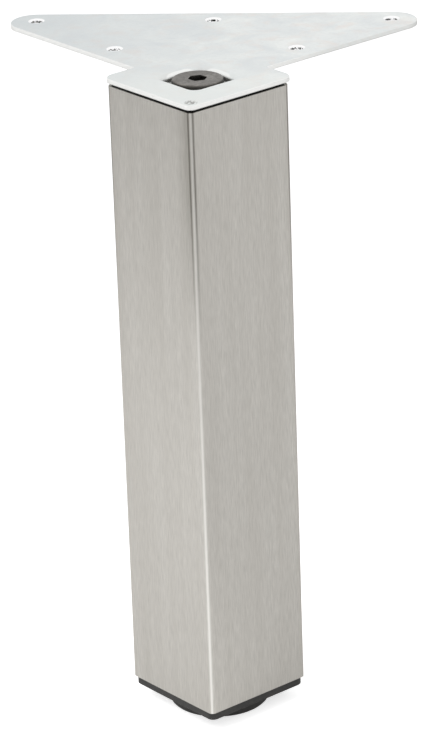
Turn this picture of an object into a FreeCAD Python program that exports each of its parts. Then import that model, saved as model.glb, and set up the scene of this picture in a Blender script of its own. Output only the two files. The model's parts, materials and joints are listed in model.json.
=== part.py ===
import FreeCAD, Part
import Sketcher
import os

# Square table leg: a stainless tube with a plastic plug in each end, a pressed steel mounting plate
# held down by one screw, and a round levelling foot. Z is up, from the sole of the foot on the floor.
# Every square piece is drawn square to the tube's faces and turned so that one corner faces -Y.

SIZES = {
    # tube
    "tube_side": 60.0,
    "tube_wall": 1.5,
    "tube_length": 303.5,
    "tube_corner_r": 2.5,
    "least_corner_r": 0.2,
    "corner_turn": 45.0,
    # plugs in the tube's two ends
    "flange_inset": 0.75,
    "flange_corner_r": 3.5,
    "flange_edge": 0.4,
    "end_flange_thk": 4.2,
    "top_flange_thk": 1.2,
    "grip_gap": 0.1,
    "grip_corner_r": 2.0,
    "grip_depth": 0.6,
    "grip_height": 1.2,
    "grip_pitch": 6.0,
    "grip_start": 4.0,
    "skirt_wall": 2.0,
    "skirt_depth": 22.0,
    "rib_thk": 2.4,
    "rib_depth": 12.0,
    # mounting plate
    "plate_thk": 2.3,
    "plate_edge": 0.3,
    "plate_rear_y": 100.4,
    "head_margin": 3.0,
    "head_corner_r": 5.5,
    "front_corner_r": 3.5,
    "notch_r": 1.0,
    "wing_offset": 10.6,
    "tip_r": 12.2,
    "tip_hole_x": 85.7,
    "rear_hole_inset": 10.8,
    "flank_hole_x": 43.0,
    "flank_hole_y": 44.6,
    "wing_hole_d": 4.2,
    "wing_sink_d": 8.0,
    "wing_sink_angle": 90.0,
    "cup_head_gap": 0.3,
    "cup_corner_r": 3.0,
    "cup_depth": 4.2,
    "cup_rim_r": 3.0,
    "cup_floor_edge": 0.5,
    "cup_gap": 0.2,
    # screw through the plate and its nut
    "screw_d": 12.0,
    "screw_length": 20.0,
    "screw_head_d": 24.0,
    "screw_head_sink": 0.2,
    "screw_edge_r": 0.9,
    "screw_tip_chamfer": 1.0,
    "screw_key": 8.0,
    "screw_key_depth": 3.0,
    "screw_turn": 49.0,
    "screw_hole_gap": 0.5,
    "top_nut_key": 18.0,
    "top_nut_height": 10.0,
    "top_web_thk": 5.0,
    "well_wall": 2.2,
    # levelling foot and its nut
    "stud_d": 10.0,
    "stud_length": 30.0,
    "stud_head_d": 20.0,
    "stud_head_height": 2.6,
    "stud_tip_chamfer": 1.0,
    "stud_hole_gap": 0.4,
    "disc_d": 48.0,
    "disc_height": 6.4,
    "disc_edge": 0.8,
    "disc_sole_thk": 2.0,
    "foot_stop_gap": 0.3,
    "foot_nut_key": 17.0,
    "foot_nut_height": 8.0,
    "foot_web_thk": 4.0,
    # shared by both nuts
    "nut_gap": 0.1,
    "nut_lip": 0.8,
    "nut_boss_wall": 3.0,
    "nut_chamfer_angle": 30.0,
    "thread_gap": 0.05,
}

# Places worked out from the sizes, as expressions over the sheet
TUBE_BASE = "Sizes.disc_height + Sizes.foot_stop_gap + Sizes.end_flange_thk"
TUBE_TOP = f"{TUBE_BASE} + Sizes.tube_length"
TUBE_INNER = "(Sizes.tube_side - 2 * Sizes.tube_wall)"
FLANGE_SIDE = "(Sizes.tube_side - 2 * Sizes.flange_inset)"
GRIP_SIDE = f"({TUBE_INNER} - 2 * Sizes.grip_gap)"
SKIRT_SIDE = f"({GRIP_SIDE} - 2 * Sizes.grip_depth)"
SKIRT_INNER = f"({SKIRT_SIDE} - 2 * Sizes.skirt_wall)"
SKIRT_CORNER = "max(Sizes.grip_corner_r - Sizes.grip_depth; Sizes.least_corner_r)"
CUP_SIDE = "(Sizes.screw_head_d + 2 * Sizes.cup_head_gap)"
CUP_OUTER = f"({CUP_SIDE} + 2 * Sizes.plate_thk)"
WELL_SIDE = f"({CUP_OUTER} + 2 * Sizes.cup_gap)"
WELL_DEPTH = "(Sizes.cup_depth + Sizes.cup_gap)"
TOP_WEB_UNDER = f"({WELL_DEPTH} - Sizes.top_flange_thk + Sizes.top_web_thk)"
SCREW_HOLE_D = "(Sizes.screw_d + 2 * Sizes.screw_hole_gap)"
STUD_HOLE_D = "(Sizes.stud_d + 2 * Sizes.stud_hole_gap)"

GRIP_RINGS = 3
NEAR = 0.01  # mm, how close an edge lies to the place it is looked for

doc = FreeCAD.newDocument("SquareTableLeg")
sheet = doc.addObject("Spreadsheet::Sheet", "Sizes")
for row, (alias, value) in enumerate(SIZES.items(), start=1):
    sheet.set(f"A{row}", alias)
    sheet.set(f"B{row}", str(value))
    sheet.setAlias(f"B{row}", alias)
doc.recompute()


def amount(expression):
    """Number that an expression over the sheet has now."""
    return float(sheet.evalExpression(expression))


def new_body(label, height, turn="Sizes.corner_turn"):
    """Body raised to a height and turned about Z."""
    body = doc.addObject("PartDesign::Body", label)
    body.Label = label
    up = FreeCAD.Vector(0, 0, 1)
    body.Placement = FreeCAD.Placement(FreeCAD.Vector(), FreeCAD.Rotation(up, amount(turn)))
    body.setExpression("Placement.Base.z", height)
    body.setExpression("Placement.Rotation.Angle", turn)
    return body


def new_sketch(body, name, plane="XY_Plane", level="0"):
    """Sketch on one of the body's own origin planes, shifted along the plane's normal."""
    sketch = body.newObject("Sketcher::SketchObject", name)
    support = next(feature for feature in body.Origin.OriginFeatures if feature.Role == plane)
    sketch.AttachmentSupport = (support, [""])
    sketch.MapMode = "FlatFace"
    sketch.setExpression("AttachmentOffset.Base.z", level)
    return sketch


def hold_point(sketch, line, end, place):
    """Ties one end of a line to a pair of expressions; a zero ties it to the sketch's axis."""
    for kind, axis, expression in (("DistanceX", -2, place[0]), ("DistanceY", -1, place[1])):
        if expression == "0":
            sketch.addConstraint(Sketcher.Constraint("PointOnObject", line, end, axis))
            continue
        where = amount(expression)
        index = sketch.addConstraint(Sketcher.Constraint(kind, -1, 1, line, end, where))
        sketch.setExpression(f"Constraints[{index}]", expression)


def draw_line(sketch, start, finish):
    """Line between two pairs of expressions."""
    ends = [FreeCAD.Vector(amount(x), amount(y), 0) for x, y in (start, finish)]
    return sketch.addGeometry(Part.LineSegment(*ends), False)


def draw_polygon(sketch, corners):
    """Closed outline with its corners at pairs of expressions."""
    lines = [draw_line(sketch, here, there) for here, there in zip(corners, corners[1:] + corners[:1])]
    for line, after in zip(lines, lines[1:] + lines[:1]):
        sketch.addConstraint(Sketcher.Constraint("Coincident", line, 2, after, 1))
    for line, corner in zip(lines, corners):
        hold_point(sketch, line, 1, corner)


def draw_rectangle(sketch, width, depth):
    """Rectangle about the sketch's origin."""
    signs = ((-1, -1), (1, -1), (1, 1), (-1, 1))
    draw_polygon(sketch, [(f"{x} * ({width}) / 2", f"{y} * ({depth}) / 2") for x, y in signs])


def draw_square(sketch, side, radius):
    """Square about the sketch's origin with round corners."""
    half = f"(({side}) / 2)"
    straight = f"({half} - ({radius}))"
    runs = (
        ((f"-1 * {straight}", f"-1 * {half}"), (straight, f"-1 * {half}")),
        ((half, f"-1 * {straight}"), (half, straight)),
        ((straight, half), (f"-1 * {straight}", half)),
        ((f"-1 * {half}", straight), (f"-1 * {half}", f"-1 * {straight}")),
    )
    lines = []
    for start, finish in runs:
        line = draw_line(sketch, start, finish)
        hold_point(sketch, line, 1, start)
        hold_point(sketch, line, 2, finish)
        lines.append(line)
    size = amount(radius)
    for line, after in zip(lines, lines[1:] + lines[:1]):
        begin = sketch.getPoint(line, 2)
        end = sketch.getPoint(after, 1)
        outward = FreeCAD.Vector(begin.x + end.x, begin.y + end.y, 0).normalize()
        chord_middle = (begin + end) / 2
        bulge = size - size / 2 ** 0.5
        arc = Part.Arc(begin, chord_middle + outward * bulge, end)
        corner = sketch.addGeometry(arc, False)
        sketch.addConstraint(Sketcher.Constraint("Coincident", corner, 1, line, 2))
        sketch.addConstraint(Sketcher.Constraint("Coincident", corner, 2, after, 1))
        index = sketch.addConstraint(Sketcher.Constraint("Radius", corner, size))
        sketch.setExpression(f"Constraints[{index}]", radius)


def draw_circle(sketch, diameter, x="0", y="0"):
    """Circle centred at a pair of expressions."""
    centre = FreeCAD.Vector(amount(x), amount(y), 0)
    circle = Part.Circle(centre, FreeCAD.Vector(0, 0, 1), amount(diameter) / 2)
    ring = sketch.addGeometry(circle, False)
    hold_point(sketch, ring, 3, (x, y))
    index = sketch.addConstraint(Sketcher.Constraint("Diameter", ring, amount(diameter)))
    sketch.setExpression(f"Constraints[{index}]", diameter)


def draw_hexagon(sketch, across_flats):
    """Regular hexagon about the sketch's origin, with flats on its left and right."""
    flat = f"(({across_flats}) / 2)"
    corner = f"({flat} / cos(30 deg))"
    shoulder = f"({corner} / 2)"
    draw_polygon(
        sketch,
        [
            (flat, f"-1 * {shoulder}"),
            (flat, shoulder),
            ("0", corner),
            (f"-1 * {flat}", shoulder),
            (f"-1 * {flat}", f"-1 * {shoulder}"),
            ("0", f"-1 * {corner}"),
        ],
    )


def pad(body, name, sketch, length, down=False):
    """Pads a sketch along or against Z."""
    feature = body.newObject("PartDesign::Pad", name)
    feature.Profile = sketch
    feature.Reversed = down
    feature.setExpression("Length", length)
    doc.recompute()
    return feature


def check_cut(body, name, before):
    """Stops if a cut took nothing away."""
    doc.recompute()
    if not body.Shape.Volume < before:
        raise RuntimeError(f"{name} in {body.Label} cuts nothing")


def pocket(body, name, sketch, length=None, up=False):
    """Cuts a sketch against Z, or along it, to a depth or right through."""
    before = body.Shape.Volume
    feature = body.newObject("PartDesign::Pocket", name)
    feature.Profile = sketch
    feature.Reversed = up
    if length is None:
        feature.Type = "ThroughAll"
    else:
        feature.setExpression("Length", length)
    check_cut(body, name, before)
    return feature


def revolve(body, name, corners):
    """Turns an outline of radius and height pairs about Z."""
    sketch = new_sketch(body, f"{name}Profile", "XZ_Plane")
    draw_polygon(sketch, corners)
    feature = body.newObject("PartDesign::Revolution", name)
    feature.Profile = sketch
    feature.ReferenceAxis = (sketch, ["V_Axis"])
    feature.Angle = 360
    doc.recompute()
    return feature


def dress_edges(body, name, kind, feature, wanted, size):
    """Fillets or chamfers the edges of a feature that pass a test."""
    names = [f"Edge{i}" for i, edge in enumerate(feature.Shape.Edges, start=1) if wanted(edge)]
    dressing = body.newObject(f"PartDesign::{kind}", name)
    dressing.Base = (feature, names)
    dressing.setExpression("Radius" if kind == "Fillet" else "Size", size)
    doc.recompute()
    return dressing


def upright_at(spots):
    """Test for upright edges at any of several pairs of expressions."""
    places = [FreeCAD.Vector(amount(x), amount(y), 0) for x, y in spots]

    def wanted(edge):
        ends = [FreeCAD.Vector(vertex.X, vertex.Y, 0) for vertex in edge.Vertexes]
        return any(all((end - place).Length < NEAR for end in ends) for place in places)

    return wanted


def level_edges(height, beyond, within):
    """Test for edges at one height whose middle lies between two distances from the axis."""
    level = amount(height)
    nearest = amount(beyond)
    furthest = amount(within)

    def wanted(edge):
        box = edge.BoundBox
        flat = abs(box.ZMin - level) < NEAR and abs(box.ZMax - level) < NEAR
        middle = edge.valueAt((edge.FirstParameter + edge.LastParameter) / 2)
        return flat and nearest < FreeCAD.Vector(middle.x, middle.y, 0).Length < furthest

    return wanted


def leg_tube():
    """Square hollow section, open at both ends."""
    body = new_body("leg_tube", TUBE_BASE)
    section = new_sketch(body, "TubeSection")
    draw_square(section, "Sizes.tube_side", "Sizes.tube_corner_r")
    draw_square(section, TUBE_INNER, "max(Sizes.tube_corner_r - Sizes.tube_wall; Sizes.least_corner_r)")
    pad(body, "TubeWall", section, "Sizes.tube_length")
    return body


def plug_shell(body, flange_thk, down):
    """Flange on the tube's end, with a thin-walled skirt, grip rings and crossed ribs inside the tube."""
    flange = new_sketch(body, "FlangeOutline")
    draw_square(flange, FLANGE_SIDE, "Sizes.flange_corner_r")
    pad(body, "Flange", flange, flange_thk, down=not down)
    skirt = new_sketch(body, "SkirtSection")
    draw_square(skirt, SKIRT_SIDE, SKIRT_CORNER)
    draw_square(skirt, SKIRT_INNER, SKIRT_CORNER)
    pad(body, "Skirt", skirt, "Sizes.skirt_depth", down)
    into_tube = "-1" if down else "1"
    grip = new_sketch(body, "GripSection", level=f"{into_tube} * Sizes.grip_start")
    draw_square(grip, GRIP_SIDE, "Sizes.grip_corner_r")
    draw_square(grip, f"({SKIRT_SIDE} - Sizes.skirt_wall)", SKIRT_CORNER)
    ring = pad(body, "GripRing", grip, "Sizes.grip_height", down)
    rings = body.newObject("PartDesign::LinearPattern", "GripRings")
    rings.Originals = [ring]
    rings.Direction = (grip, ["N_Axis"])
    rings.Reversed = down
    rings.Occurrences = GRIP_RINGS
    rings.setExpression("Length", f"{GRIP_RINGS - 1} * Sizes.grip_pitch")
    body.Tip = rings
    doc.recompute()
    reach = f"({SKIRT_SIDE} - Sizes.skirt_wall)"
    for name, width, depth in (("RibAcross", reach, "Sizes.rib_thk"), ("RibAlong", "Sizes.rib_thk", reach)):
        rib = new_sketch(body, f"{name}Section")
        draw_rectangle(rib, width, depth)
        pad(body, name, rib, "Sizes.rib_depth", down)


def nut_seat(body, key, boss_height, pocket_level, pocket_depth, down):
    """Round boss with a hexagon pocket for a nut."""
    boss = new_sketch(body, "NutBossSection")
    draw_circle(boss, f"({key} + 2 * Sizes.nut_gap) / cos(30 deg) + 2 * Sizes.nut_boss_wall")
    pad(body, "NutBoss", boss, boss_height, down)
    seat = new_sketch(body, "NutPocketSection", level=pocket_level)
    draw_hexagon(seat, f"{key} + 2 * Sizes.nut_gap")
    pocket(body, "NutPocket", seat, pocket_depth, up=True)


def top_plug():
    """Plug in the tube's top, with a square well for the plate's cup and a nut under the well's floor."""
    body = new_body("top_plug", TUBE_TOP)
    plug_shell(body, "Sizes.top_flange_thk", down=True)
    block = new_sketch(body, "WellBlockSection")
    draw_square(block, f"{WELL_SIDE} + 2 * Sizes.well_wall", "Sizes.cup_corner_r")
    pad(body, "WellBlock", block, TOP_WEB_UNDER, down=True)
    nut_end = f"({TOP_WEB_UNDER} + Sizes.top_nut_height + Sizes.nut_lip)"
    pocket_depth = "Sizes.top_nut_height + Sizes.nut_lip"
    nut_seat(body, "Sizes.top_nut_key", nut_end, f"-1 * {nut_end}", pocket_depth, down=True)
    well = new_sketch(body, "WellSection", level="Sizes.top_flange_thk")
    draw_square(well, WELL_SIDE, "Sizes.cup_corner_r")
    pocket(body, "Well", well, WELL_DEPTH)
    hole = new_sketch(body, "ScrewHoleSection", level="Sizes.top_flange_thk")
    draw_circle(hole, SCREW_HOLE_D)
    pocket(body, "ScrewHole", hole)
    return body


def end_plug():
    """Plug in the tube's lower end, with its nut let into the flange from below."""
    body = new_body("end_plug", TUBE_BASE)
    plug_shell(body, "Sizes.end_flange_thk", down=False)
    boss_height = "Sizes.foot_nut_height - Sizes.end_flange_thk + Sizes.foot_web_thk"
    under = "-1 * Sizes.end_flange_thk"
    nut_seat(body, "Sizes.foot_nut_key", boss_height, under, "Sizes.foot_nut_height", down=False)
    hole = new_sketch(body, "StudHoleSection", level=f"max({boss_height}; Sizes.rib_depth)")
    draw_circle(hole, STUD_HOLE_D)
    last = pocket(body, "StudHole", hole)
    outline = level_edges(under, "Sizes.foot_nut_key", FLANGE_SIDE)
    dress_edges(body, "FlangeEdge", "Chamfer", last, outline, "Sizes.flange_edge")
    return body


def mounting_plate():
    """Sheet pressing: square head, triangular wing with sunk screw holes, and a square cup for the screw."""
    body = new_body("mounting_plate", f"{TUBE_TOP} + Sizes.top_flange_thk")
    front = "-1 * Sizes.tube_side / 2"
    side = "(Sizes.tube_side / 2 + Sizes.head_margin)"
    wing = "-1 * Sizes.wing_offset"
    tip = "(Sizes.plate_rear_y * sqrt(2) + Sizes.wing_offset)"
    outline = new_sketch(body, "PlateOutline")
    corners = [
        (front, front), (side, front), (side, wing), (tip, wing), (wing, tip), (wing, side), (front, side),
    ]
    draw_polygon(outline, corners)
    feature = pad(body, "Sheet", outline, "Sizes.plate_thk")
    roundings = (
        ("FrontCorner", corners[:1], "Sizes.front_corner_r"),
        ("HeadCorners", [corners[1], corners[6]], "Sizes.head_corner_r"),
        ("Notches", [corners[2], corners[5]], "Sizes.notch_r"),
        ("Tips", corners[3:5], "Sizes.tip_r"),
    )
    for name, spots, radius in roundings:
        feature = dress_edges(body, name, "Fillet", feature, upright_at(spots), radius)
    outer = level_edges("Sizes.plate_thk", "0", tip)
    dress_edges(body, "UpperEdge", "Chamfer", feature, outer, "Sizes.plate_edge")

    cup = new_sketch(body, "CupSection", level="0")
    draw_square(cup, CUP_OUTER, "Sizes.cup_corner_r + Sizes.plate_thk")
    pad(body, "Cup", cup, "Sizes.cup_depth", down=True)
    hollow = new_sketch(body, "CupHollowSection", level="Sizes.plate_thk")
    draw_square(hollow, CUP_SIDE, "Sizes.cup_corner_r")
    feature = pocket(body, "CupHollow", hollow, "Sizes.cup_depth")
    rim = level_edges("Sizes.plate_thk", "0", CUP_SIDE)
    feature = dress_edges(body, "CupRim", "Fillet", feature, rim, "Sizes.cup_rim_r")
    floor = level_edges("Sizes.plate_thk - Sizes.cup_depth", "0", CUP_SIDE)
    feature = dress_edges(body, "CupFloor", "Chamfer", feature, floor, "Sizes.cup_floor_edge")
    under = level_edges("-1 * Sizes.cup_depth", "0", CUP_OUTER)
    even_wall = "Sizes.cup_floor_edge + (2 - sqrt(2)) * Sizes.plate_thk"
    dress_edges(body, "CupUnder", "Chamfer", feature, under, even_wall)
    screw_hole = new_sketch(body, "ScrewHoleSection", level="Sizes.plate_thk")
    draw_circle(screw_hole, SCREW_HOLE_D)
    pocket(body, "ScrewHole", screw_hole)

    rear_hole_y = "(Sizes.plate_rear_y - Sizes.rear_hole_inset)"
    spots = [("0", rear_hole_y)]
    for sign in ("1", "-1"):
        spots.append((f"{sign} * Sizes.tip_hole_x", rear_hole_y))
        spots.append((f"{sign} * Sizes.flank_hole_x", "Sizes.flank_hole_y"))
    centres = new_sketch(body, "WingHoleCentres", level="Sizes.plate_thk")
    for x, y in spots:
        draw_circle(centres, "Sizes.wing_hole_d", f"({x} + {y}) / sqrt(2)", f"({y} - ({x})) / sqrt(2)")
    doc.recompute()
    before = body.Shape.Volume
    holes = body.newObject("PartDesign::Hole", "WingHoles")
    holes.Profile = centres
    holes.DepthType = "ThroughAll"
    holes.HoleCutType = "Countersink"
    holes.HoleCutCustomValues = True
    holes.setExpression("Diameter", "Sizes.wing_hole_d")
    holes.setExpression("HoleCutDiameter", "Sizes.wing_sink_d")
    holes.setExpression("HoleCutCountersinkAngle", "Sizes.wing_sink_angle")
    check_cut(body, "WingHoles", before)
    return body


def plate_screw():
    """Turned screw with a wide flat head, standing on the floor of the plate's cup."""
    cup_floor = f"{TUBE_TOP} + Sizes.top_flange_thk + Sizes.plate_thk - Sizes.cup_depth"
    body = new_body("plate_screw", cup_floor, "Sizes.screw_turn")
    head_top = "(Sizes.cup_depth - Sizes.screw_head_sink)"
    head_r = "(Sizes.screw_head_d / 2)"
    shank_r = "(Sizes.screw_d / 2)"
    tip = "-1 * Sizes.screw_length"
    bulge = "(1 - sqrt(0.5)) * Sizes.screw_edge_r"
    revolve(
        body,
        "HeadAndShank",
        [
            ("0", head_top),
            ("0", tip),
            (f"{shank_r} - Sizes.screw_tip_chamfer", tip),
            (shank_r, f"{tip} + Sizes.screw_tip_chamfer"),
            (shank_r, "0"),
            (f"{head_r} - Sizes.cup_floor_edge", "0"),
            (head_r, "Sizes.cup_floor_edge"),
            (head_r, f"{head_top} - Sizes.screw_edge_r"),
            (f"{head_r} - {bulge}", f"{head_top} - {bulge}"),
            (f"{head_r} - Sizes.screw_edge_r", head_top),
        ],
    )
    socket = new_sketch(body, "SocketSection", level=head_top)
    draw_hexagon(socket, "Sizes.screw_key")
    pocket(body, "Socket", socket, "Sizes.screw_key_depth")
    return body


def hexagon_nut(label, height, key, thickness, thread_d):
    """Hexagon nut with its corners chamfered on the face that lies open below."""
    body = new_body(label, height)
    blank = new_sketch(body, "NutBlank")
    draw_hexagon(blank, key)
    draw_circle(blank, f"{thread_d} + 2 * Sizes.thread_gap")
    pad(body, "Nut", blank, thickness)
    corner_r = f"({key} / 2 / cos(30 deg))"
    face_r = f"({key} / 2)"
    drop = f"({corner_r} - {face_r}) * tan(Sizes.nut_chamfer_angle * 1 deg)"
    beyond = f"2 * {corner_r} - {face_r}"
    slope = new_sketch(body, "ChamferProfile", "XZ_Plane")
    draw_polygon(slope, [(face_r, "0"), (beyond, "0"), (beyond, f"2 * {drop}")])
    before = body.Shape.Volume
    groove = body.newObject("PartDesign::Groove", "CornerChamfer")
    groove.Profile = slope
    groove.ReferenceAxis = (slope, ["V_Axis"])
    groove.Angle = 360
    check_cut(body, "CornerChamfer", before)
    return body


def levelling_stud():
    """Threaded stud, drawn at its outer diameter, with a round head inside the foot disc."""
    body = new_body("levelling_stud", "Sizes.disc_sole_thk")
    shank_r = "(Sizes.stud_d / 2)"
    head_r = "(Sizes.stud_head_d / 2)"
    tip = "(Sizes.disc_height - Sizes.disc_sole_thk + Sizes.stud_length)"
    revolve(
        body,
        "Stud",
        [
            ("0", "0"),
            (head_r, "0"),
            (head_r, "Sizes.stud_head_height"),
            (shank_r, "Sizes.stud_head_height"),
            (shank_r, f"{tip} - Sizes.stud_tip_chamfer"),
            (f"{shank_r} - Sizes.stud_tip_chamfer", tip),
            ("0", tip),
        ],
    )
    return body


def foot_disc():
    """Moulded disc around the stud's head, with both rims broken and a flat sole."""
    body = new_body("foot_disc", "0")
    rim_r = "(Sizes.disc_d / 2)"
    neck_r = "(Sizes.stud_d / 2 + Sizes.thread_gap)"
    head_r = "(Sizes.stud_head_d / 2 + Sizes.thread_gap)"
    head_top = "(Sizes.disc_sole_thk + Sizes.stud_head_height + Sizes.thread_gap)"
    revolve(
        body,
        "Disc",
        [
            ("0", "0"),
            (f"{rim_r} - Sizes.disc_edge", "0"),
            (rim_r, "Sizes.disc_edge"),
            (rim_r, "Sizes.disc_height - Sizes.disc_edge"),
            (f"{rim_r} - Sizes.disc_edge", "Sizes.disc_height"),
            (neck_r, "Sizes.disc_height"),
            (neck_r, head_top),
            (head_r, head_top),
            (head_r, "Sizes.disc_sole_thk"),
            ("0", "Sizes.disc_sole_thk"),
        ],
    )
    return body


top_nut_level = f"{TUBE_TOP} - {TOP_WEB_UNDER} - Sizes.top_nut_height"
foot_nut_level = f"{TUBE_BASE} - Sizes.end_flange_thk"
bodies = [
    leg_tube(),
    top_plug(),
    hexagon_nut("top_nut", top_nut_level, "Sizes.top_nut_key", "Sizes.top_nut_height", "Sizes.screw_d"),
    mounting_plate(),
    plate_screw(),
    end_plug(),
    hexagon_nut("foot_nut", foot_nut_level, "Sizes.foot_nut_key", "Sizes.foot_nut_height", "Sizes.stud_d"),
    levelling_stud(),
    foot_disc(),
]
doc.recompute()

for item in doc.Objects:
    if "Invalid" in item.State or "Error" in item.State:
        raise RuntimeError(f"{item.Label} failed: {item.State}")
for body in bodies:
    if body.Shape.isNull() or not body.Shape.isValid() or len(body.Shape.Solids) != 1:
        raise RuntimeError(f"{body.Label} is not one valid solid")

os.makedirs("parts", exist_ok=True)
for body in bodies:
    body.Shape.exportStep(f"parts/{body.Label}.step")
    box = body.Shape.BoundBox
    print(f"{body.Label}: volume {body.Shape.Volume:.0f} mm3, z {box.ZMin:.2f} to {box.ZMax:.2f}")
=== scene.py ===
import json
import math

import bpy
from mathutils import Matrix, Vector


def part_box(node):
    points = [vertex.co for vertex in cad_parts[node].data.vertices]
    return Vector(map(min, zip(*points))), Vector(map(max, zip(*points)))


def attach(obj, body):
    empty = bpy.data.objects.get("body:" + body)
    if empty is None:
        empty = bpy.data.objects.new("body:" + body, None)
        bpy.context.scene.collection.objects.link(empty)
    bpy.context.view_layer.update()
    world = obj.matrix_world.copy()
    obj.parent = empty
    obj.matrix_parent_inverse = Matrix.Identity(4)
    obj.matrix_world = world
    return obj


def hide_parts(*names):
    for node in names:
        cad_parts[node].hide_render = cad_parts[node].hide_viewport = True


# Looks of a square table leg: brushed stainless tube, zinc-plated mounting plate held by one dark screw,
# black plastic plugs and a levelling foot on a threaded stud. Lengths are in metres.

MM = 0.001

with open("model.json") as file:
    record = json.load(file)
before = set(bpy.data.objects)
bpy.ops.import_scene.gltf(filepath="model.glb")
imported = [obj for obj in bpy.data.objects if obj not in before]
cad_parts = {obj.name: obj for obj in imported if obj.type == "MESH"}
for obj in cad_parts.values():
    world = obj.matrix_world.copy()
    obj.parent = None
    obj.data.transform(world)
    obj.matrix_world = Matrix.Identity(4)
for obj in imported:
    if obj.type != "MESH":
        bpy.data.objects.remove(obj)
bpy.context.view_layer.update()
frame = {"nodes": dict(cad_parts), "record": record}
nodes = frame["nodes"]
mounts = {mount["name"]: mount for mount in frame["record"]["mounts"]}


# Node trees


def linear(code):
    """Linear RGBA of an sRGB hex colour."""
    channels = [int(code[i:i + 2], 16) / 255 for i in (1, 3, 5)]
    return [c / 12.92 if c <= 0.04045 else ((c + 0.055) / 1.055) ** 2.4 for c in channels] + [1.0]


def plug(tree, made, sockets):
    """Gives a node's inputs their values, or links outputs to them."""
    for key, value in sockets.items():
        if isinstance(value, bpy.types.NodeSocket):
            tree.links.new(value, made.inputs[key])
        else:
            made.inputs[key].default_value = value


def add(tree, kind, sockets=None, out=0, **settings):
    """Adds a node with its settings and links, and hands back one of its outputs."""
    made = tree.nodes.new(kind)
    for name, value in settings.items():
        setattr(made, name, value)
    plug(tree, made, sockets or {})
    return made.outputs[out] if made.outputs else None


def new_material(name):
    """Node material, with its tree and the piece's own coordinates."""
    material = bpy.data.materials.new(name)
    material.use_nodes = True
    place = add(material.node_tree, "ShaderNodeTexCoord", out="Object")
    return material, material.node_tree, place


def mottle(tree, place, width, length=None, detail=2.0, rough=0.5, warp=0.0):
    """Noise with blotches of a real width, drawn out along Z where a length is given."""
    cells = (1 / width, 1 / width, 1 / (length or width))
    laid = add(tree, "ShaderNodeMapping", {"Vector": place, "Scale": cells})
    noise = {"Vector": laid, "Scale": 1.0, "Detail": detail, "Roughness": rough, "Distortion": warp}
    return add(tree, "ShaderNodeTexNoise", noise)


def fade(start, stop, first=0.0, last=1.0):
    """Inputs of a Map Range that runs from first to last while its value runs from start to stop."""
    return {"From Min": start, "From Max": stop, "To Min": first, "To Max": last}


def tint(tree, value, run, under, over, way="MIX"):
    """Colour laid over another where a value's run is high."""
    share = add(tree, "ShaderNodeMapRange", {"Value": value, **run})
    colours = {0: share, 6: under, 7: linear(over)}
    return add(tree, "ShaderNodeMix", colours, 2, data_type="RGBA", blend_type=way)


# Materials

NOISE = 0.3, 0.7  # noise lies mostly between these
WHOLE = fade(0.0, 1.0)
BUMP = 0.05 * MM

STREAK_WIDTH, STREAK_LENGTH = 0.5 * MM, 7 * MM
BAND_WIDTH, BAND_LENGTH = 7 * MM, 160 * MM
UPPER_SHADE_FROM, UPPER_SHADE_TO = 205 * MM, 275 * MM
LINE_ASIDE, LINE_CORE, LINE_REACH = 1.1 * MM, 0.15 * MM, 0.7 * MM
BAND_SHADE_FROM, BAND_SHADE_TO, BAND_SHADE_BLEND = -8 * MM, -2.5 * MM, 0.5 * MM
HIGHLIGHT_CORE, HIGHLIGHT_REACH = 0.2 * MM, 0.85 * MM
SHINE_FROM, SHINE_TO = 60 * MM, 300 * MM
SHINE_LOW, SHINE_HIGH = 0.93, 0.3


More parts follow.
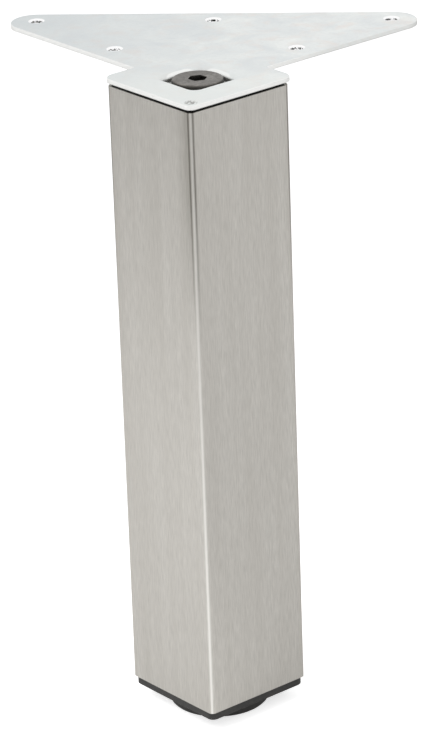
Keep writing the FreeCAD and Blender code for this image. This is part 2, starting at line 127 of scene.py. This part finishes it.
def brushed_stainless():
    """Stainless tube, ground along its length: warm grey, fine upright streaks, a sheen spread sideways."""
    material, tree, place = new_material("brushed_stainless_steel")
    # Grinding marks are about 0.1 mm wide; drawn five times as coarse, so that they show.
    streaks = mottle(tree, place, STREAK_WIDTH, STREAK_LENGTH, detail=3.0, rough=0.6)
    bands = mottle(tree, place, BAND_WIDTH, BAND_LENGTH)
    ground = tint(tree, streaks, fade(*NOISE), linear("#BEBBB5"), "#D6D3CD")
    banded = tint(tree, bands, fade(*NOISE, 0.0, 0.35), ground, "#B7B3AC")

    # The corners lie on the X and Y axes. A painted highlight runs down them, brightest near the foot. Near
    # the upper end, painted shade draws a dark line down each side and a soft darker band down one side.
    spot = add(tree, "ShaderNodeSeparateXYZ", {0: place}).node.outputs
    x, y = [add(tree, "ShaderNodeMath", {0: spot[axis]}, operation="ABSOLUTE") for axis in "XY"]
    aside = add(tree, "ShaderNodeMath", {0: x, 1: y}, operation="MINIMUM")
    upper = add(tree, "ShaderNodeMapRange", {"Value": spot["Z"], **fade(UPPER_SHADE_FROM, UPPER_SHADE_TO)})
    # Painted shade: a soft darker band beside one side of the corners, toward the upper end.
    dull = add(tree, "ShaderNodeMapRange", {"Value": spot["X"], **fade(BAND_SHADE_FROM, BAND_SHADE_TO)})
    one_side = fade(-BAND_SHADE_BLEND, BAND_SHADE_BLEND, 1.0, 0.0)
    left = add(tree, "ShaderNodeMapRange", {"Value": spot["X"], **one_side})
    band = add(tree, "ShaderNodeMath", {0: dull, 1: left}, operation="MULTIPLY")
    soft = add(tree, "ShaderNodeMath", {0: band, 1: upper}, operation="MULTIPLY")
    shaded = tint(tree, soft, WHOLE, banded, "#E2E1DF", "MULTIPLY")
    # Painted shade: a dark line down each side of the corners, near the upper end only.
    off_line = add(tree, "ShaderNodeMath", {0: aside, 1: LINE_ASIDE}, operation="SUBTRACT")
    from_line = add(tree, "ShaderNodeMath", {0: off_line}, operation="ABSOLUTE")
    line = add(tree, "ShaderNodeMapRange", {"Value": from_line, **fade(LINE_CORE, LINE_REACH, 1.0, 0.0)})
    lifted = add(tree, "ShaderNodeMath", {0: line, 1: upper}, operation="MULTIPLY")
    lined = tint(tree, lifted, WHOLE, shaded, "#B4B3B1", "MULTIPLY")
    # Painted highlight: the corners are lightened, most near the foot.
    wane = fade(SHINE_FROM, SHINE_TO, SHINE_LOW, SHINE_HIGH)
    shine = add(tree, "ShaderNodeMapRange", {"Value": spot["Z"], **wane})
    edge = add(tree, "ShaderNodeMapRange", {"Value": aside, **fade(HIGHLIGHT_CORE, HIGHLIGHT_REACH, 1.0, 0.0)})
    painted_highlight = add(tree, "ShaderNodeMath", {0: edge, 1: shine}, operation="MULTIPLY")
    worn_and_highlit = tint(tree, painted_highlight, WHOLE, lined, "#F3F1EC")

    plug(tree, tree.nodes["Principled BSDF"], {
        "Base Color": worn_and_highlit,
        "Metallic": 1.0,
        "Roughness": add(tree, "ShaderNodeMapRange", {"Value": streaks, **fade(*NOISE, 0.34, 0.44)}),
        "Anisotropic": 0.6,
        "Normal": add(tree, "ShaderNodeBump", {"Height": streaks, "Strength": 0.12, "Distance": BUMP}),
        "Tangent": add(tree, "ShaderNodeTangent", direction_type="RADIAL", axis="Z"),
    })
    return material


CLOUD_WIDTH, TINGE_WIDTH, SPECK_WIDTH, GRIT_WIDTH = 20 * MM, 9 * MM, 1.6 * MM, 0.9 * MM
CAST_FROM, CAST_TO = -100 * MM, 40 * MM
PALE_FROM, PALE_TO = 30 * MM, -25 * MM
SHEET = 2.3 * MM
WALL_FROM, WALL_TO = 0.05 * MM, 0.3 * MM
EDGE_LIGHT_FROM, EDGE_LIGHT_TO = 30 * MM, 60 * MM
FOOT_LINE_CORE, FOOT_LINE_REACH = 0.1 * MM, 0.5 * MM
CUP_BOUND = 22 * MM, 26 * MM
SLOPE_BOUND = 13.5 * MM, 15.5 * MM
RECESS_SHADE_BOUND = 12.6 * MM, 13.3 * MM
RECESS_SHADE_TOP, RECESS_SHADE_DEEP = 1.7 * MM, 3.0 * MM
SINK_REACH, SINK_BLEND = 4.0 * MM, 0.1 * MM
RING_REACH, RING_WIDTH = 3.03 * MM, 0.17 * MM
SCUFF_INSET, SCUFF_CORE, SCUFF_REACH = 4.5 * MM, 1.5 * MM, 3.4 * MM


def hole_centres():
    """Middles of the plate's five screw holes, from the record's mounts."""
    middles = [Vector(mounts["rear_screw_hole"]["pos_m"])]
    for name in ("tip_screw_holes", "flank_screw_holes"):
        aside = Vector((mounts[name]["dims"]["spacing_x_mm"] * MM / 2, 0, 0))
        middle = Vector(mounts[name]["pos_m"])
        middles += [middle - aside, middle + aside]
    return middles


def zinc_plated_sheet():
    """Plate of pressed steel sheet, zinc-plated: almost white, with faint cool and warm clouds."""
    material, tree, place = new_material("zinc_plated_sheet_steel")
    clouds = mottle(tree, place, CLOUD_WIDTH, detail=4.0, rough=0.6, warp=0.6)
    tinges = mottle(tree, place, TINGE_WIDTH, detail=3.0, warp=0.4)
    specks = mottle(tree, place, SPECK_WIDTH)
    cool = tint(tree, clouds, fade(*NOISE), linear("#DCE0E1"), "#F0F2F0")
    warm = tint(tree, tinges, fade(0.5, 0.75, 0.0, 0.55), cool, "#E8DFD9")
    plated = tint(tree, specks, fade(0.45, 0.7, 0.0, 0.12), warm, "#C4C8C8")

    # One wing has a cool cast, and the square front is paler and warmer.
    low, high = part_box("mounting_plate")
    spot = add(tree, "ShaderNodeSeparateXYZ", {0: place}).node.outputs
    cast = tint(tree, spot["X"], fade(CAST_FROM, CAST_TO, 0.6, 0.0), plated, "#C6CCCE")
    front = tint(tree, spot["Y"], fade(PALE_FROM, PALE_TO, 0.0, 0.6), cast, "#EAEDEA")

    # Sheared edges below the face get a painted highlight, weaker on one wing, and a grey line at their foot.
    axis = Vector((0, 0, high.z))
    from_axis = add(tree, "ShaderNodeVectorMath", {0: place, 1: axis}, "Value", operation="DISTANCE")
    outer = add(tree, "ShaderNodeMapRange", {"Value": from_axis, **fade(*CUP_BOUND)})
    down = fade(high.z - WALL_TO, high.z - WALL_FROM, 1.0, 0.0)
    below = add(tree, "ShaderNodeMapRange", {"Value": spot["Z"], **down})
    edge = add(tree, "ShaderNodeMath", {0: outer, 1: below}, operation="MULTIPLY")
    edge_highlight = tint(tree, spot["X"], fade(EDGE_LIGHT_FROM, EDGE_LIGHT_TO), linear("#FFFFFD"), "#EFF0EE")
    underside = high.z - SHEET
    foot_line = fade(underside + FOOT_LINE_CORE, underside + FOOT_LINE_REACH, 0.3, 0.0)
    foot_lined = tint(tree, spot["Z"], foot_line, edge_highlight, "#9FA09E")
    sheared = add(tree, "ShaderNodeMix", {0: edge, 6: front, 7: foot_lined}, 2, data_type="RGBA")

    # The pressed cup's slope gets a painted highlight, less so in its corners, and painted shade lies deep
    # around the screw's head.
    inner = add(tree, "ShaderNodeMapRange", {"Value": from_axis, **fade(*SLOPE_BOUND, 1.0, 0.0)})
    slope_highlight = add(tree, "ShaderNodeMath", {0: inner, 1: below}, operation="MULTIPLY")
    drawn = tint(tree, slope_highlight, fade(0.0, 0.3), sheared, "#F3F4F2")
    # Painted shade: deep in the cup, close around the screw's head.
    close = add(tree, "ShaderNodeMapRange", {"Value": from_axis, **fade(*RECESS_SHADE_BOUND, 1.0, 0.0)})
    deep = fade(high.z - RECESS_SHADE_DEEP, high.z - RECESS_SHADE_TOP, 1.0, 0.0)
    bottom = add(tree, "ShaderNodeMapRange", {"Value": spot["Z"], **deep})
    recess_shade = add(tree, "ShaderNodeMath", {0: close, 1: bottom}, operation="MULTIPLY")
    recess_shaded = tint(tree, recess_shade, WHOLE, drawn, "#242321")

    # The sinks get a painted highlight, with a broken ring of painted shade near their foot.
    grit = mottle(tree, place, GRIT_WIDTH)
    patchy = add(tree, "ShaderNodeMapRange", {"Value": grit, **fade(0.42, 0.54)})
    nearest = None
    for centre in hole_centres():
        rim = Vector((centre.x, centre.y, high.z))
        away = add(tree, "ShaderNodeVectorMath", {0: place, 1: rim}, "Value", operation="DISTANCE")
        if nearest is None:
            nearest = away
        else:
            nearest = add(tree, "ShaderNodeMath", {0: nearest, 1: away}, operation="MINIMUM")
    inside = fade(SINK_REACH - SINK_BLEND, SINK_REACH, 1.0, 0.0)
    sink_highlighted = tint(tree, nearest, inside, recess_shaded, "#FFFFFF")
    ring = add(tree, "ShaderNodeMath", {0: nearest, 1: RING_REACH, 2: RING_WIDTH}, operation="COMPARE")
    broken = add(tree, "ShaderNodeMath", {0: ring, 1: patchy}, operation="MULTIPLY")
    hole_shaded = tint(tree, broken, WHOLE, sink_highlighted, "#1F1E1D")

    # A knock has left a few scratches at the plate's front corner.
    corner = Vector((0, low.y + SCUFF_INSET, high.z))
    reach = add(tree, "ShaderNodeVectorMath", {0: place, 1: corner}, "Value", operation="DISTANCE")
    near = add(tree, "ShaderNodeMapRange", {"Value": reach, **fade(SCUFF_CORE, SCUFF_REACH, 1.0, 0.0)})
    scraped = add(tree, "ShaderNodeMath", {0: near, 1: patchy}, operation="MULTIPLY")
    worn = tint(tree, scraped, WHOLE, hole_shaded, "#6F6B66")

    smooth = add(tree, "ShaderNodeMapRange", {"Value": clouds, **fade(*NOISE, 0.38, 0.5)})
    plug(tree, tree.nodes["Principled BSDF"], {
        "Base Color": worn,
        "Metallic": 1.0,
        "Roughness": add(tree, "ShaderNodeMix", {0: edge, 2: smooth, 3: 0.5}),
        "Normal": add(tree, "ShaderNodeBump", {"Height": specks, "Strength": 0.05, "Distance": BUMP}),
    })
    return material


SPOT_WIDTH = 2.2 * MM


def zinc_plated_fastener():
    """Nuts and stud, turned and bright zinc-plated: cool pale grey with small dull spots."""
    material, tree, place = new_material("zinc_plated_fastener_steel")
    spots = mottle(tree, place, SPOT_WIDTH, detail=3.0)
    plug(tree, tree.nodes["Principled BSDF"], {
        "Base Color": tint(tree, spots, fade(*NOISE), linear("#B9BCBD"), "#D6D8D8"),
        "Metallic": 1.0,
        "Roughness": add(tree, "ShaderNodeMapRange", {"Value": spots, **fade(*NOISE, 0.28, 0.42)}),
    })
    return material


RUBBED_WIDTH, COAT_WIDTH, FLECK_WIDTH = 4 * MM, 0.6 * MM, 1.3 * MM
SIDE_SHADE_TOP, SIDE_SHADE_DEEP = 0.15 * MM, 0.55 * MM


def phosphated_steel():
    """Phosphated steel screw, worn patchy grey on its head; painted shade in its socket and down its side."""
    material, tree, place = new_material("phosphated_steel")
    rubs = mottle(tree, place, RUBBED_WIDTH, detail=4.0, rough=0.65, warp=0.5)
    grit = mottle(tree, place, COAT_WIDTH)
    flecks = mottle(tree, place, FLECK_WIDTH, detail=3.0)
    coat = tint(tree, grit, fade(*NOISE), linear("#6C6965"), "#807D79")
    worn_and_highlit = tint(tree, rubs, fade(0.5, 0.7, 0.0, 0.6), coat, "#9B9791")
    flecked = tint(tree, flecks, fade(0.58, 0.68, 0.0, 0.5), worn_and_highlit, "#4A4845")
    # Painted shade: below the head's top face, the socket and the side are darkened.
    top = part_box("plate_screw")[1].z
    height = add(tree, "ShaderNodeSeparateXYZ", {0: place}, "Z")
    down = fade(top - SIDE_SHADE_DEEP, top - SIDE_SHADE_TOP, 1.0, 0.0)
    black = tint(tree, height, down, flecked, "#4A4845")
    plug(tree, tree.nodes["Principled BSDF"], {
        "Base Color": black,
        "Metallic": 1.0,
        "Roughness": add(tree, "ShaderNodeMapRange", {"Value": rubs, **fade(*NOISE, 0.5, 0.38)}),
        "Normal": add(tree, "ShaderNodeBump", {"Height": grit, "Strength": 0.15, "Distance": BUMP}),
    })
    return material


GRAIN_WIDTH, DUST_WIDTH = 0.4 * MM, 9 * MM
DUST_FROM, DUST_TO = 0.0, 40 * MM
GLOSS_FROM, GLOSS_TO = 100 * MM, 300 * MM


def moulded_plastic():
    """Plugs and foot of black polyethylene, moulded: matt, finely grained, dusty near the floor."""
    material, tree, place = new_material("moulded_black_polyethylene")
    # The tool's grain is about 0.2 mm; drawn twice as coarse, so that it shows.
    grain = mottle(tree, place, GRAIN_WIDTH)
    dust = mottle(tree, place, DUST_WIDTH, detail=4.0, rough=0.6)
    black = tint(tree, grain, fade(*NOISE), linear("#121212"), "#1B1B1A")
    height = add(tree, "ShaderNodeSeparateXYZ", {0: place}, "Z")
    film = tint(tree, height, fade(DUST_FROM, DUST_TO, 0.45, 0.0), black, "#403F3D")
    low = add(tree, "ShaderNodeMapRange", {"Value": height, **fade(DUST_FROM, DUST_TO, 1.0, 0.0)})
    patches = add(tree, "ShaderNodeMath", {0: dust, 1: low}, operation="MULTIPLY")
    dusty = tint(tree, patches, fade(0.35, 0.65, 0.0, 0.4), film, "#55534F")
    # The upper plug's gloss is turned down, as painted shade for the gap under the plate.
    gloss = fade(GLOSS_FROM, GLOSS_TO, 0.5, 0.1)
    plug(tree, tree.nodes["Principled BSDF"], {
        "Base Color": dusty,
        "Specular IOR Level": add(tree, "ShaderNodeMapRange", {"Value": height, **gloss}),
        "Roughness": add(tree, "ShaderNodeMapRange", {"Value": dust, **fade(*NOISE, 0.46, 0.6)}),
        "Normal": add(tree, "ShaderNodeBump", {"Height": grain, "Strength": 0.25, "Distance": BUMP}),
    })
    return material


zinc_fastener = zinc_plated_fastener()
black_plastic = moulded_plastic()
finishes = {
    "leg_tube": brushed_stainless(),
    "top_plug": black_plastic,
    "top_nut": zinc_fastener,
    "mounting_plate": zinc_plated_sheet(),
    "plate_screw": phosphated_steel(),
    "end_plug": black_plastic,
    "foot_nut": zinc_fastener,
    "levelling_stud": zinc_fastener,
    "foot_disc": black_plastic,
}
for name, material in finishes.items():
    nodes[name].data.materials.clear()
    nodes[name].data.materials.append(material)


# Threaded stud

STUD_RADIUS = 5.0 * MM
HEAD_HEIGHT = 2.6 * MM
THREAD_PITCH = 1.5 * MM
THREAD_DEPTH = 0.92 * MM
CREST_WIDTH = 0.2 * MM
ROOT_WIDTH = 1.3 * MM
THREAD_SIDES = 48


def stud_tree():
    """Node tree of the stud: a core wound with a right-hand thread, on a round head."""
    tree = bpy.data.node_groups.new("threaded_stud", "GeometryNodeTree")
    tree.interface.new_socket("Geometry", in_out="OUTPUT", socket_type="NodeSocketGeometry")
    sockets = {
        "NodeSocketFloat": (
            "Shank Length", "Core Radius", "Thread Length", "Turns", "Thread Radius", "Thread Depth",
            "Crest Width", "Root Width", "Head Radius", "Head Height",
        ),
        "NodeSocketVector": ("Thread Start", "Core Middle", "Head Middle"),
        "NodeSocketMaterial": ("Material",),
    }
    for kind, names in sockets.items():
        for name in names:
            tree.interface.new_socket(name, in_out="INPUT", socket_type=kind)
    sizes = tree.nodes.new("NodeGroupInput").outputs

    winding = add(tree, "GeometryNodeCurveSpiral", {
        "Resolution": THREAD_SIDES,
        "Rotations": sizes["Turns"],
        "Start Radius": sizes["Thread Radius"],
        "End Radius": sizes["Thread Radius"],
        "Height": sizes["Thread Length"],
        "Reverse": True,
    })
    upright = add(tree, "GeometryNodeSetCurveNormal", {"Curve": winding}, mode="Z_UP")
    ridge = add(tree, "GeometryNodeCurvePrimitiveQuadrilateral", {
        "Height": sizes["Thread Depth"],
        "Bottom Width": sizes["Root Width"],
        "Top Width": sizes["Crest Width"],
        "Offset": 0.0,
    }, mode="TRAPEZOID")
    outward = add(tree, "GeometryNodeTransform", {"Geometry": ridge, "Rotation": (0, 0, -math.pi / 2)})
    swept = {"Curve": upright, "Profile Curve": outward, "Fill Caps": True}
    thread = add(tree, "GeometryNodeCurveToMesh", swept)
    core = {"Vertices": THREAD_SIDES, "Radius": sizes["Core Radius"], "Depth": sizes["Shank Length"]}
    disc = {"Vertices": THREAD_SIDES, "Radius": sizes["Head Radius"], "Depth": sizes["Head Height"]}
    pieces = {
        "Thread Start": thread,
        "Core Middle": add(tree, "GeometryNodeMeshCylinder", core),
        "Head Middle": add(tree, "GeometryNodeMeshCylinder", disc),
    }
    whole = tree.nodes.new("GeometryNodeJoinGeometry")
    for name, piece in pieces.items():
        placed = add(tree, "GeometryNodeTransform", {"Geometry": piece, "Translation": sizes[name]})
        tree.links.new(placed, whole.inputs[0])
    real = add(tree, "GeometryNodeRealizeInstances", {"Geometry": whole.outputs[0]})
    coated = add(tree, "GeometryNodeSetMaterial", {"Geometry": real, "Material": sizes["Material"]})
    add(tree, "NodeGroupOutput", {"Geometry": coated})
    return tree


def threaded_stud():
    """Stud with its thread, as one plain mesh in the place of its plain solid."""
    low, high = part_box("levelling_stud")
    neck = low.z + HEAD_HEIGHT
    length = high.z - neck
    values = {
        "Shank Length": length,
        "Core Radius": STUD_RADIUS - THREAD_DEPTH,
        "Thread Length": length - ROOT_WIDTH,
        "Turns": (length - ROOT_WIDTH) / THREAD_PITCH,
        "Thread Radius": STUD_RADIUS - THREAD_DEPTH / 2,
        "Thread Depth": THREAD_DEPTH,
        "Crest Width": CREST_WIDTH,
        "Root Width": ROOT_WIDTH,
        "Head Radius": high.x,
        "Head Height": HEAD_HEIGHT,
        "Thread Start": (0, 0, neck + ROOT_WIDTH / 2),
        "Core Middle": (0, 0, neck + length / 2),
        "Head Middle": (0, 0, low.z + HEAD_HEIGHT / 2),
        "Material": zinc_fastener,
    }
    tree = stud_tree()
    stud = bpy.data.objects.new("threaded_stud", bpy.data.meshes.new("threaded_stud"))
    bpy.context.scene.collection.objects.link(stud)
    modifier = stud.modifiers.new("thread", "NODES")
    modifier.node_group = tree
    for item in tree.interface.items_tree:
        if item.in_out == "INPUT":
            modifier[item.identifier] = values[item.name]
    evaluated = stud.evaluated_get(bpy.context.evaluated_depsgraph_get())
    mesh = bpy.data.meshes.new_from_object(evaluated)
    mesh.materials.pop(index=0)  # the cylinders' empty slot
    stud.modifiers.clear()
    stud.data = mesh
    return stud


stud = threaded_stud()
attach(stud, "foot")  # the stud turns with the disc as it screws in and out
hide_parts("levelling_stud")


# Floor, light and camera

FLOOR_HALF = 8.0
FLOOR_LEVEL = -0.1 * MM
FLOOR_LIFT = 0.68
FLOOR_SHEEN = 0.1
FIBRE_WIDTH = 3 * MM


def paper_floor():
    """Matt white paper, lit by the lamps: lifted to white for the camera and a little in reflections."""
    material, tree, place = new_material("white_paper")
    fibres = mottle(tree, place, FIBRE_WIDTH)
    path = add(tree, "ShaderNodeLightPath").node.outputs
    seen = add(tree, "ShaderNodeMath", {0: path["Is Camera Ray"], 1: FLOOR_LIFT}, operation="MULTIPLY")
    sheen = {0: path["Is Glossy Ray"], 1: FLOOR_SHEEN, 2: seen}
    plug(tree, tree.nodes["Principled BSDF"], {
        "Base Color": tint(tree, fibres, fade(*NOISE), linear("#EDEDED"), "#F2F2F2"),
        "Roughness": 0.9,
        "Emission Color": linear("#FFFFFF"),
        "Emission Strength": add(tree, "ShaderNodeMath", sheen, operation="MULTIPLY_ADD"),
    })

    # Its underside lets the view through, so that the foot can be looked at from below.
    behind = add(tree, "ShaderNodeNewGeometry", out="Backfacing")
    clear = add(tree, "ShaderNodeBsdfTransparent")
    sides = {0: behind, 1: tree.nodes["Principled BSDF"].outputs[0], 2: clear}
    plug(tree, tree.nodes["Material Output"], {"Surface": add(tree, "ShaderNodeMixShader", sides)})
    return material


def floor():
    """Wide plane under the foot's sole, which goes down with it as the foot is screwed out."""
    mesh = bpy.data.meshes.new("floor")
    signs = (-1, -1), (1, -1), (1, 1), (-1, 1)
    corners = [(x * FLOOR_HALF, y * FLOOR_HALF, FLOOR_LEVEL) for x, y in signs]
    mesh.from_pydata(corners, [], [(0, 1, 2, 3)])
    mesh.materials.append(paper_floor())
    plane = bpy.data.objects.new("floor", mesh)
    bpy.context.scene.collection.objects.link(plane)
    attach(plane, "stud")


def softbox(name, place, aim, side, radiance):
    """Square lamp of an even radiance, where 1 shows as white, turned towards a point."""
    lamp = bpy.data.lights.new(name, "AREA")
    lamp.shape = "SQUARE"
    lamp.size = side
    lamp.energy = radiance * math.pi * side ** 2
    holder = bpy.data.objects.new(name, lamp)
    holder.location = place
    holder.rotation_mode = "QUATERNION"
    holder.rotation_quaternion = (Vector(aim) - Vector(place)).to_track_quat("-Z", "Y")
    holder.visible_glossy = False  # metal shows the white room and the floor, not the lamps
    bpy.context.scene.collection.objects.link(holder)


def surroundings(seen, felt):
    """Even white room, seen by the camera and in reflections at one strength and felt as light at another."""
    world = bpy.data.worlds.new("studio")
    world.use_nodes = True
    tree = world.node_tree
    path = add(tree, "ShaderNodeLightPath").node.outputs
    direct = {0: path["Is Camera Ray"], 1: path["Is Glossy Ray"]}
    shown = add(tree, "ShaderNodeMath", direct, operation="MAXIMUM")
    strength = add(tree, "ShaderNodeMapRange", {"Value": shown, **fade(0.0, 1.0, felt, seen)})
    plug(tree, tree.nodes["Background"], {"Color": linear("#FFFFFF"), "Strength": strength})
    bpy.context.scene.world = world


# The photo's view, fitted to the tube's and the plate's edges
IMAGE_HEIGHT = 730
FOCAL_PIXELS = 3886.7
SENSOR = 36.0
AZIMUTH, ELEVATION, ROLL = (math.radians(angle) for angle in (5.43, 22.20, -2.05))
AIM = Vector((0, 0, 160.9 * MM))
DISTANCE = 1847.0 * MM
AIM_RIGHT = -1.7 * MM
AIM_DOWN = 13.0 * MM


def photo_camera():
    """Camera at the photo's angle, with its aim as far off the picture's middle as the photo has it."""
    back = Vector((
        math.sin(AZIMUTH) * math.cos(ELEVATION),
        -math.cos(AZIMUTH) * math.cos(ELEVATION),
        math.sin(ELEVATION),
    ))
    level = Vector((0, 0, 1)).cross(back).normalized()
    upright = back.cross(level)
    right = level * math.cos(ROLL) + upright * math.sin(ROLL)
    up = upright * math.cos(ROLL) - level * math.sin(ROLL)
    lens = bpy.data.cameras.new("photo_camera")
    lens.sensor_width = SENSOR
    lens.lens = FOCAL_PIXELS * SENSOR / IMAGE_HEIGHT
    camera = bpy.data.objects.new("photo_camera", lens)
    turned = Matrix((right, up, back)).transposed().to_4x4()
    place = AIM + back * DISTANCE - right * AIM_RIGHT + up * AIM_DOWN
    camera.matrix_world = Matrix.Translation(place) @ turned
    bpy.context.scene.collection.objects.link(camera)
    bpy.context.scene.camera = camera


# A wide lamp far to the left keys the leg, one above it pools light around its foot, and one to the right
# lights the floor that the right-hand face mirrors.
floor()
surroundings(seen=1.0, felt=0.36)
softbox("key_softbox", place=(-4.0, -1.2, 2.6), aim=(0, 0, 0.16), side=5.2, radiance=1.0)
softbox("top_softbox", place=(-0.38, -0.2, 0.65), aim=(-0.25, -0.1, 0), side=0.6, radiance=2.8)
softbox("side_softbox", place=(1.1, -0.2, 0.9), aim=(0.9, -0.2, 0), side=0.9, radiance=1.9)
photo_camera()
bpy.context.scene.view_settings.view_transform = "Standard"
